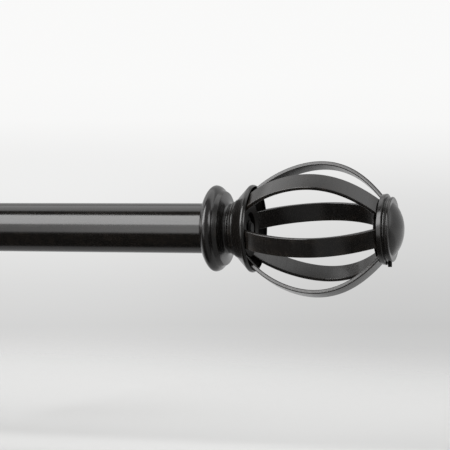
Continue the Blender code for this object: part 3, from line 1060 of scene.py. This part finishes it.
    def plug(self) -> bmesh.types.BMesh:
        """Threaded insert pressed into the tube's end, with a grip of fine flutes."""
        name = f"end_plug_{self.side.value}"
        outer = half_size(name, 2)
        length = 2 * half_size(name, 0)
        far = 3.0 * MM
        near = far - length
        bore = self.stud_radius + 0.1 * MM
        outline = [(near, bore), (near, outer - 0.6 * MM), (near + 1.2 * MM, outer)]
        for groove in range(4):
            start = near + (3.0 + 3.0 * groove) * MM
            outline += [(start, outer), (start + 0.3 * MM, outer - 0.4 * MM)]
            outline += [(start + 0.9 * MM, outer - 0.4 * MM), (start + 1.2 * MM, outer)]
        outline += [(far, outer), (far, bore)]
        return spun(outline, SMALL_SIDES)

    def build(self, finishes: FinishSet) -> None:
        """Builds and delivers every piece of the finial.

        Args:
            finishes: the materials.
        """
        name = self.side.value
        fixed, turning = self.fixed_body, self.turning_body
        metal, inner, oxide = finishes.lacquer, finishes.painted_shade_lacquer, finishes.oxide
        pieces: list[tuple[str, Callable[[], bmesh.types.BMesh], Coating, str]] = [
            ("end_plug", self.plug, finishes.zinc, fixed),
            ("stud", self.stud, oxide, fixed),
            ("collar", self.collar, metal, fixed),
            ("cup", self.cup, metal, turning),
            ("lock_nut", self.lock_nut, oxide, turning),
            # painted shade: the base ring wears the dull lacquer that stands for the cup's shadow
            ("base_ring", self.base_ring, inner, turning),
            ("tip_hub", self.tip_hub, metal, turning),
            ("cap", self.cap, metal, turning),
            ("cap_screw", self.cap_screw, oxide, turning),
            ("cap_set_screw", self.set_screw, oxide, turning),
        ]
        for label, make, coating, body in pieces:
            piece = deliver(f"{label}_{name}", make(), coating, body, self.place)
            # the cup's inside takes the dull painted-shade lacquer as its second material
            if label == "cup":
                piece.data.materials.append(inner.material)
        for number in range(self.strap_count):
            around = self.first_strap + math.tau * number / self.strap_count
            place = self.place @ Matrix.Rotation(math.pi / 2 - around, 4, "X")
            deliver(f"rib_{name}_{number + 1}", self.strap(), metal, turning, place)


@dataclass
class Tubes:
    """The outer and inner tube, the ring at the sliding mouth and the hidden guide."""

    wall: float = 0.8 * MM

    def along_rod(self, node: str) -> tuple[float, float, float, Matrix]:
        """A node's start, end and radius along the rod, and the matrix onto the rod's axis."""
        low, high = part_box(node)
        middle = (low + high) / 2
        place = Matrix.Translation((0.0, middle.y, middle.z))
        return low.x, high.x, (high.z - low.z) / 2, place

    def tube(self, node: str) -> tuple[bmesh.types.BMesh, Matrix]:
        """A thin tube with slightly rounded cut ends."""
        start, end, radius, place = self.along_rod(node)
        inner = radius - self.wall
        bm = spun([(start, inner), (start, radius), (end, radius), (end, inner)], 192)
        soften(bm, 0.15 * MM)
        return bm, place

    def mouth_ring(self) -> tuple[bmesh.types.BMesh, Matrix]:
        """The moulded ring over the outer tube's raw end, with a grip bead."""
        start, end, skin, place = self.along_rod("mouth_ring")
        _, _, inner_radius, _ = self.along_rod("inner_tube")
        _, _, rod_radius, _ = self.along_rod("outer_tube")
        bore = inner_radius + 0.12 * MM
        slip = rod_radius + 0.03 * MM
        lip = start + 1.25 * MM
        round_start, round_end = (start, skin - 0.7 * MM), (start + 0.9 * MM, skin)
        outline = [(start, bore), round_start]
        outline += bezier(round_start, (start, skin), (start + 0.3 * MM, skin), round_end, 6)
        outline += [(start + 2.4 * MM, skin), (start + 2.7 * MM, skin - 0.25 * MM)]
        outline += [(start + 3.3 * MM, skin - 0.25 * MM), (start + 3.6 * MM, skin)]
        outline += [(end - 0.4 * MM, skin), (end, skin - 0.3 * MM)]
        outline += [(end, slip), (lip, slip), (lip, bore)]
        bm = spun(outline)
        soften(bm, 0.12 * MM, 35.0, 2)
        return bm, place

    def guide_plug(self) -> tuple[bmesh.types.BMesh, Matrix]:
        """The nylon guide on the inner tube's hidden end, with two glide beads."""
        start, end, glide, place = self.along_rod("guide_plug")
        _, tube_end, tube_radius, _ = self.along_rod("inner_tube")
        spigot = tube_radius - self.wall - 0.05 * MM
        outline = [(start, 6.0 * MM), (start, spigot - 0.5 * MM), (start + 1.0 * MM, spigot)]
        outline += [(tube_end, spigot), (tube_end, glide - 0.5 * MM), (tube_end + 0.8 * MM, glide)]
        outline += [(tube_end + 1.7 * MM, glide), (tube_end + 2.1 * MM, glide - 0.4 * MM)]
        outline += [(end - 2.1 * MM, glide - 0.4 * MM), (end - 1.7 * MM, glide)]
        outline += [(end - 0.8 * MM, glide), (end, glide - 0.6 * MM), (end, 6.0 * MM)]
        return spun(outline, SMALL_SIDES), place

    def build(self, finishes: FinishSet) -> None:
        """Builds and delivers the tubes and their trim.

        Args:
            finishes: the materials.
        """
        for node, body in (("outer_tube", "rod"), ("inner_tube", "inner_rod")):
            bm, place = self.tube(node)
            deliver(node, bm, finishes.rod_lacquer, body, place)
        bm, place = self.mouth_ring()
        deliver("mouth_ring", bm, finishes.nylon, "rod", place)
        bm, place = self.guide_plug()
        deliver("guide_plug", bm, finishes.nylon, "inner_rod", place)


@dataclass
class Bracket:
    """One adjustable wall bracket: plate, socket, sliding arm, cradle and its screws.

    Lengths run out of the wall, and heights up from the rod's axis.
    """

    side: Side
    socket_radius: float = 7.5 * MM
    arm_radius: float = 4.5 * MM
    arm_flat: float = 3.9 * MM
    cradle_bore: float = 13.0 * MM
    cradle_wall: float = 3.5 * MM
    cradle_front: float = 8.0 * MM
    cradle_back: float = 12.0 * MM
    spigot_radius: float = 2.9 * MM
    plate_step: float = 1.1 * MM
    countersink: float = 4.6 * MM
    wall_screw_hole: float = 2.4 * MM
    clamp_hole: float = 2.65 * MM
    lock_hole: float = 2.15 * MM
    foot_radius: float = 12.5 * MM
    bead: float = 0.8 * MM
    clamp_screw: tuple[float, float, int] = (2.5 * MM, 5.5 * MM, 36)  # crest, grip's length, ridges
    lock_screw: tuple[float, float, int] = (2.0 * MM, 4.5 * MM, 28)

    def __post_init__(self) -> None:
        """Reads the bracket's place from the frame."""
        self.name = self.side.value
        low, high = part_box(f"wall_plate_{self.name}")
        self.wall = Vector(((low.x + high.x) / 2, high.y, (low.z + high.z) / 2))
        self.plate_width = high.x - low.x
        self.plate_height = high.z - low.z
        self.plate_depth = high.y - low.y
        self.reach_of_arm = self.wall.y - centre_of("outer_tube").y
        self.arm_body = f"arm_{self.name}"

    def out_from_wall(self, node: str) -> tuple[float, float]:
        """A CAD node's nearest and furthest length out of the wall."""
        low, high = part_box(node)
        return self.wall.y - high.y, self.wall.y - low.y

    def plate(self) -> bmesh.types.BMesh:
        """The rounded wall plate, with a stepped edge and two countersunk holes."""
        across = self.plate_width / 2
        straight = self.plate_height / 2 - across
        outline = arc((0.0, straight), across, 0, 180, 40)
        outline += arc((0.0, -straight), across, 180, 360, 40)
        bm = bmesh.new()
        face = bm.faces.new([bm.verts.new((x, 0.0, z)) for x, z in outline])
        step = self.plate_step
        for inset, rise in ((0.0, self.plate_depth - step), (step, step)):
            if inset:
                bmesh.ops.inset_region(bm, faces=[face], thickness=inset, use_even_offset=True)
            grown = bmesh.ops.extrude_face_region(bm, geom=[face])["geom"]
            rim = only(grown, bmesh.types.BMVert)
            bmesh.ops.translate(bm, verts=rim, vec=(0.0, -rise, 0.0))
            face = only(grown, bmesh.types.BMFace)[0]
        bmesh.ops.recalc_face_normals(bm, faces=bm.faces)
        soften(bm, 0.35 * MM, 60.0)
        cutters = []
        for place in ("upper", "lower"):
            head = centre_of(f"wall_screw_{self.name}_{place}")
            mouth, bore = self.countersink, self.wall_screw_hole
            outline = [(-1.0 * MM, 0.0), (-1.0 * MM, mouth), (0.25 * MM, mouth)]
            outline += [(0.25 * MM + mouth - bore, bore), (5.0 * MM, bore), (5.0 * MM, 0.0)]
            where = Vector((0.0, -self.plate_depth, head.z - self.wall.z))
            hole = moved_by(spun(outline, SMALL_SIDES), Heading.INTO_WALL.placed_at(where))
            cutters.append(hole)
        return carve(bm, cutters)

    def wall_screw(self, place: str) -> bmesh.types.BMesh:
        """Countersunk wood screw with a coarse thread and a cross recess, its head's face at 0.

        Args:
            place: upper or lower.

        Returns:
            The screw along +X.
        """
        near, far = self.out_from_wall(f"wall_screw_{self.name}_{place}")
        length = far - near
        head, core, shank = 4.3 * MM, 1.45 * MM, 2.0 * MM
        outline = [(0.0, 0.0), (0.0, head - 0.25 * MM), (0.2 * MM, head), (0.45 * MM, head)]
        outline += [(2.4 * MM, shank), (6.0 * MM, shank), (6.6 * MM, core)]
        outline += [(length - 6.0 * MM, core), (length, 0.15 * MM), (length, 0.0)]
        arms = []
        for turn in (0.0, math.pi / 2):
            arm = block((3.6 * MM, 0.85 * MM, 4.6 * MM))
            tip = [v for v in arm.verts if v.co.x > 0]
            bmesh.ops.scale(arm, vec=(1.0, 0.6, 0.35), verts=tip)
            arms.append(moved_by(arm, Matrix.Rotation(turn + 0.5, 4, "X")))
        bm = carve(spun(outline, SCREW_SIDES), arms)
        add_thread(bm, 7.0 * MM, length - 5.0 * MM, core - 0.1 * MM, 2.1 * MM, 1.8 * MM)
        return bm

    def socket(self) -> bmesh.types.BMesh:
        """The tube that the arm slides in, on a coved foot, with a beaded mouth."""
        foot, mouth = self.out_from_wall(f"socket_{self.name}")
        foot -= 0.25 * MM
        radius, bore = self.socket_radius, self.arm_radius + 0.15 * MM
        wide, bead, groove = self.foot_radius, self.bead, radius - 0.4 * MM
        edge, cove, neck = (foot + 1.3 * MM, wide), (foot + 3.0 * MM, 10.8 * MM), foot + 8.0 * MM
        outline = [(foot, 0.0), (foot, wide), edge]
        outline += bezier(edge, (foot + 2.2 * MM, wide), (foot + 2.3 * MM, 11.2 * MM), cove, 8)
        leave, arrive = (foot + 3.6 * MM, 8.4 * MM), (foot + 5.2 * MM, radius)
        outline += bezier(cove, leave, arrive, (neck, radius), 12)
        outline += [(mouth - 8.3 * MM, radius), (mouth - 8.1 * MM, groove)]
        outline += [(mouth - 7.5 * MM, groove)]
        outline += arc((mouth - 6.6 * MM, radius), bead, 180, 90, 6)
        outline += [(mouth - 1.4 * MM, radius + bead)]
        outline += arc((mouth - bead, radius), bead, 90, 0, 6)
        outline += [(mouth, bore + 0.3 * MM), (mouth - 0.3 * MM, bore)]
        outline += [(9.0 * MM, bore), (9.0 * MM, 0.0)]
        lock = centre_of(f"lock_screw_{self.name}")
        place = Heading.DOWN.placed_at(Vector((self.wall.y - lock.y, 0.0, 0.0)))
        hole = bar(0.0, 20.0 * MM, self.lock_hole, SCREW_SIDES)
        return carve(spun(outline, SLEEVE_SIDES), [moved_by(hole, place)])

    def arm(self) -> bmesh.types.BMesh:
        """The bar that carries the cradle, flattened underneath for the lock screw."""
        tail, tip = self.out_from_wall(f"arm_{self.name}")
        shoulder = tip - self.cradle_wall
        radius = self.arm_radius - 0.05 * MM
        bulge, collar, end = (shoulder - 6.7 * MM, 6.0 * MM), 5.3 * MM, tip - 0.05 * MM
        start = (shoulder - 8.3 * MM, radius)
        leave, arrive = (shoulder - 7.4 * MM, 4.6 * MM), (shoulder - 7.0 * MM, 5.6 * MM)
        outline = [(tail, 0.0), (tail, radius - 0.6 * MM), (tail + 0.6 * MM, radius), start]
        outline += bezier(start, leave, arrive, bulge, 5)
        outline += arc((shoulder - 5.0 * MM, 5.1 * MM), 1.8 * MM, 150, 30, 14)
        outline += [(shoulder - 2.9 * MM, collar), (shoulder, collar)]
        outline += [(shoulder, self.spigot_radius), (end, self.spigot_radius), (end, 0.0)]
        below = Vector((tail + 24.0 * MM, 0.0, -self.arm_flat - 3.0 * MM))
        flat = moved_by(block((52.0 * MM, 12.0 * MM, 6.0 * MM)), Matrix.Translation(below))
        bm = carve(spun(outline, SLEEVE_SIDES), [flat])
        soften(bm, 0.12 * MM, 50.0, 2)
        return bm

    def cradle(self) -> bmesh.types.BMesh:
        """The U that the rod lies in, with rounded edges and bored for spigot and clamp screw."""
        low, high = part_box(f"cradle_{self.name}")
        bore, wall = self.cradle_bore, self.cradle_wall
        middle = bore + wall / 2
        outline = arc((0, 0), bore + wall, 180, 360, 72)
        outline += [(bore + wall, self.cradle_back / 2)]
        outline += arc((middle, self.cradle_back), wall / 2, 0, 180, 12)
        outline += arc((0, 0), bore, 360, 180, 72)
        outline += arc((-middle, self.cradle_front), wall / 2, 0, 180, 12)
        bm = slab(outline, high.x - low.x)
        soften(bm, 0.7 * MM, 60.0, 4)
        cutters = []
        for out, radius in ((middle, self.spigot_radius + 0.05 * MM), (-middle, self.clamp_hole)):
            place = Heading.INTO_WALL.placed_at(Vector((0.0, out, 0.0)))
            cutters.append(moved_by(bar(-4 * MM, 4 * MM, radius, SCREW_SIDES), place))
        return carve(bm, cutters)

    def thumbscrew(
        self, node: str, radius: float, grip: float, depth: float, ridges: int
    ) -> bmesh.types.BMesh:
        """A screw with a knurled round grip, along +X with its tip at 0.

        Args:
            node: its CAD node.
            radius: the thread's crest.
            grip: the grip's radius.
            depth: the grip's length.
            ridges: how many ridges the knurl has.

        Returns:
            A closed mesh.
        """
        low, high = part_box(node)
        axis = 1 if node.startswith("clamp") else 2
        length = high[axis] - low[axis]
        head = length - depth
        core = radius - 0.35 * MM
        collar = radius + 1.1 * MM
        outline = [(0.0, 0.0), (0.0, core - 0.4 * MM), (0.5 * MM, core), (head - 1.4 * MM, core)]
        outline += [(head - 1.2 * MM, collar), (head, collar), (head, grip - 0.5 * MM)]
        rim = (length - 0.6 * MM, grip)
        leave, arrive = (length - 0.1 * MM, grip), (length, grip - 0.5 * MM)
        outline += [(head + 0.5 * MM, grip), rim]
        outline += bezier(rim, leave, arrive, (length, grip - 1.1 * MM), 5)
        dish = (length - 0.5 * MM, grip - 2.5 * MM)
        outline += [(length, grip - 2.0 * MM), dish, (dish[0], 0.0)]
        bm = spun(outline, ridges * 4)
        for vert in bm.verts:
            reach = math.hypot(vert.co.y, vert.co.z)
            if reach > grip - 0.3 * MM and head + 0.4 * MM < vert.co.x < length - 0.1 * MM:
                wave = math.cos(ridges * math.atan2(vert.co.z, vert.co.y))
                scale = 1.0 - (0.25 * MM / grip) * (1.0 - wave)
                vert.co.y *= scale
                vert.co.z *= scale
        soften(bm, 0.12 * MM, 55.0, 2)
        add_thread(bm, 0.5 * MM, head - 1.3 * MM, core - 0.1 * MM, radius - 0.05 * MM, 0.8 * MM)
        return bm

    def build(self, finishes: FinishSet) -> None:
        """Builds and delivers every piece of the bracket.

        Args:
            finishes: the materials.
        """
        name, root = self.name, "wall_brackets"
        metal = finishes.lacquer
        rod = self.wall + Vector((0.0, -self.reach_of_arm, 0.0))
        out = Heading.INTO_ROOM.placed_at(self.wall)
        deliver(f"wall_plate_{name}", self.plate(), metal, root, Matrix.Translation(self.wall))
        deliver(f"socket_{name}", self.socket(), metal, root, out)
        for place in ("upper", "lower"):
            node = f"wall_screw_{name}_{place}"
            middle = centre_of(node)
            head = Heading.INTO_WALL.placed_at(Vector((middle.x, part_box(node)[0].y, middle.z)))
            deliver(node, self.wall_screw(place), finishes.zinc, root, head)
        deliver(f"arm_{name}", self.arm(), finishes.arm_lacquer, self.arm_body, out)
        deliver(f"cradle_{name}", self.cradle(), metal, self.arm_body, Matrix.Translation(rod))
        clamp, lock = f"clamp_screw_{name}", f"lock_screw_{name}"
        clamp_tip = Vector((rod.x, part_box(clamp)[1].y, rod.z))
        lock_tip = Vector((self.wall.x, centre_of(lock).y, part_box(lock)[1].z))
        for node, kind, grip, heading, tip in (
            (clamp, self.clamp_screw, half_size(clamp, 2), Heading.INTO_ROOM, clamp_tip),
            (lock, self.lock_screw, half_size(lock, 0), Heading.DOWN, lock_tip),
        ):
            crest, depth, ridges = kind
            bm = self.thumbscrew(node, crest, grip, depth, ridges)
            deliver(node, bm, metal, node, heading.placed_at(tip))


# Studio


@dataclass(frozen=True)
class Softbox:
    """A bright or dim patch of the surroundings, as reflections and light see it.

    Angles are about the rod, from the room side upwards, in degrees; across is the direction's
    component along the rod, from -1 at the left to 1 at the right.
    """

    low: float
    high: float
    left: float
    right: float
    radiance: float
    edge: float = 3.0
    side_edge: float = 0.05


@dataclass
class Studio:
    """Camera, pale floor and surroundings."""

    yaw: float = math.radians(17.0)
    lift: float = math.radians(1.0)
    distance: float = 0.858
    lens: float = 136.0
    aim_along: float = 9.4 * MM
    aim_above: float = 1.75 * MM
    floor_drop: float = 0.118
    softboxes: tuple[Softbox, ...] = (
        Softbox(17, 62, -0.98, -0.18, 7.2, 1.5, 0.015),
        Softbox(-20, 17, -0.98, -0.18, 1.4, 3.0, 0.015),
        Softbox(-22, 17, -0.37, -0.13, 1.2, 3.0, 0.03),
        Softbox(22, 62, 0.75, 0.97, 5.0, 1.5, 0.03),
        Softbox(-20, 22, 0.75, 0.97, 0.5, 3.0, 0.03),
        Softbox(10, 84, -0.18, 0.75, 0.42, 6.0, 0.05),
        Softbox(-100, 10, 0.05, 0.75, 0.26, 8.0, 0.08),
        Softbox(86, 125, -1.2, 1.2, 1.1, 6.0),
        Softbox(86, 210, -1.2, 1.2, 0.75, 4.0),
        Softbox(-210, -150, -1.2, 1.2, 0.9, 6.0),
        Softbox(-150, -100, -1.2, 1.2, 0.5, 6.0),
    )
    ambient: float = 0.03
    # backdrop greys by the height of the view direction, with painted shade: a darker band near
    # -0.08 between the bright top and the lighter bottom
    backdrop: tuple[Point, ...] = (
        (-0.150, 0.765),
        (-0.123, 0.738),
        (-0.100, 0.665),
        (-0.076, 0.617),
        (-0.053, 0.665),
        (-0.030, 0.730),
        (-0.006, 0.790),
        (0.020, 0.860),
        (0.044, 0.935),
        (0.066, 0.950),
    )
    floor_tone: Triple = (0.62, 0.62, 0.615)

    def camera(self) -> None:
        """Sets the camera at the finial, a little to its right and above."""
        low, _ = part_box("collar_right")
        axis = centre_of("outer_tube")
        aim = Vector((low.x + self.aim_along, axis.y, axis.z + self.aim_above))
        back = Vector(
            (
                math.sin(self.yaw) * math.cos(self.lift),
                -math.cos(self.yaw) * math.cos(self.lift),
                math.sin(self.lift),
            )
        )
        data = bpy.data.cameras.new("camera")
        data.lens = self.lens
        data.sensor_width = 36.0
        data.clip_start = 0.01
        camera = bpy.data.objects.new("camera", data)
        bpy.context.scene.collection.objects.link(camera)
        camera.location = aim + back * self.distance
        camera.rotation_euler = back.to_track_quat("Z", "Y").to_euler()
        bpy.context.scene.camera = camera

    def surroundings(self) -> None:
        """Soft boxes for light and reflections, and a pale backdrop for the camera with painted
        light and shade on it.
        """
        world = bpy.data.worlds.new("studio")
        bpy.context.scene.world = world
        world.use_nodes = True
        tree = world.node_tree
        tree.nodes.clear()
        bench = NodeBench(tree)
        direction = bench.add("ShaderNodeTexCoord").outputs["Generated"]
        split = bench.add("ShaderNodeSeparateXYZ")
        bench.feed(split.inputs[0], direction)
        along, depth, height = split.outputs
        towards_room = bench.math("MULTIPLY", depth, -1.0)
        around = bench.math("DEGREES", bench.math("ARCTAN2", height, towards_room))
        total: object = self.ambient
        for box in self.softboxes:
            patch = bench.math(
                "MULTIPLY",
                bench.ramp(around, box.low - box.edge, box.low + box.edge),
                bench.ramp(around, box.high - box.edge, box.high + box.edge, 1.0, 0.0),
            )
            sides = bench.math(
                "MULTIPLY",
                bench.ramp(along, box.left - box.side_edge, box.left + box.side_edge),
                bench.ramp(along, box.right - box.side_edge, box.right + box.side_edge, 1.0, 0.0),
            )
            shape = bench.math("MULTIPLY", patch, sides)
            total = bench.math("MULTIPLY_ADD", shape, box.radiance, total)
        lit = bench.add("ShaderNodeBackground")
        bench.feed(lit.inputs["Strength"], total)
        backdrop = bench.add("ShaderNodeBackground")
        tint = bench.add("ShaderNodeValToRGB")
        bottom, top = self.backdrop[0][0], self.backdrop[-1][0]
        stops = tint.color_ramp.elements
        while len(stops) < len(self.backdrop):
            stops.new(0.5)
        for stop, (place, grey) in zip(stops, self.backdrop):
            stop.position = (place - bottom) / (top - bottom)
            stop.color = (grey, grey, grey * 0.995, 1.0)
        bench.feed(tint.inputs[0], bench.ramp(height, bottom, top, smooth=False))
        bench.feed(backdrop.inputs["Color"], tint.outputs[0])
        # painted light and shade on the lower backdrop: lighter to the left, darker to the right
        across = bench.ramp(along, -0.40, -0.18, 1.07, 0.94)
        below = bench.ramp(height, -0.01, 0.03, 1.0, 0.0)
        shade = bench.math("SUBTRACT", across, 1.0)
        bench.feed(backdrop.inputs["Strength"], bench.math("MULTIPLY_ADD", shade, below, 1.0))
        seen = bench.add("ShaderNodeLightPath").outputs["Is Camera Ray"]
        mix = bench.add("ShaderNodeMixShader")
        bench.feed(mix.inputs[0], seen)
        bench.feed(mix.inputs[1], lit.outputs[0])
        bench.feed(mix.inputs[2], backdrop.outputs[0])
        out = bench.add("ShaderNodeOutputWorld")
        bench.feed(out.inputs["Surface"], mix.outputs[0])

    def floor(self) -> None:
        """A pale floor that fades into the backdrop and shows one side only."""
        axis = centre_of("outer_tube")
        low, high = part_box("outer_tube")
        bm = bmesh.new()
        bmesh.ops.create_circle(bm, cap_ends=True, segments=96, radius=3.0)
        place = Vector(((low.x + high.x) / 2, axis.y, axis.z - self.floor_drop))
        bmesh.ops.translate(bm, verts=bm.verts, vec=place)
        floor = loose_object("pale_floor", bm)
        material, bench, shader = new_material("pale_floor")
        where = bench.coordinates()
        worn = tuple(0.97 * part for part in self.floor_tone)
        away = bench.vector_math("SUBTRACT", where, place).outputs[0]
        flattened = bench.vector_math("MULTIPLY", away, (0.6, 1.0, 1.0)).outputs[0]
        length = bench.vector_math("LENGTH", flattened).outputs["Value"]
        fade = bench.ramp(length, 0.20, 0.72, 1.0, 0.0)
        behind = bench.add("ShaderNodeNewGeometry").outputs["Backfacing"]
        settings = {
            "Base Color": bench.blend(bench.noise(where, 3.0, 3.0), self.floor_tone, worn),
            "Alpha": bench.math("MULTIPLY", fade, bench.math("SUBTRACT", 1.0, behind)),
            "Roughness": 0.9,
            "Specular IOR Level": 0.0,
        }
        bench.fill(shader, settings)
        floor.data.materials.append(material)
        floor.visible_glossy = False

    def build(self) -> None:
        """Sets up everything around the object."""
        bpy.context.scene.view_settings.view_transform = "Standard"
        self.camera()
        self.surroundings()
        self.floor()


def main() -> None:
    """Builds the looks around the frame, piece by piece, and notes the sizes."""
    logging.basicConfig(level=logging.INFO, format="%(message)s")
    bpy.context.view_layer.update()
    finishes = FinishSet.build()
    Tubes().build(finishes)
    Finial(Side.RIGHT, half_size("outer_tube", 2)).build(finishes)
    Finial(Side.LEFT, half_size("inner_tube", 2)).build(finishes)
    Bracket(Side.RIGHT).build(finishes)
    Bracket(Side.LEFT).build(finishes)
    Studio().build()


if __name__ == "__main__":
    main()
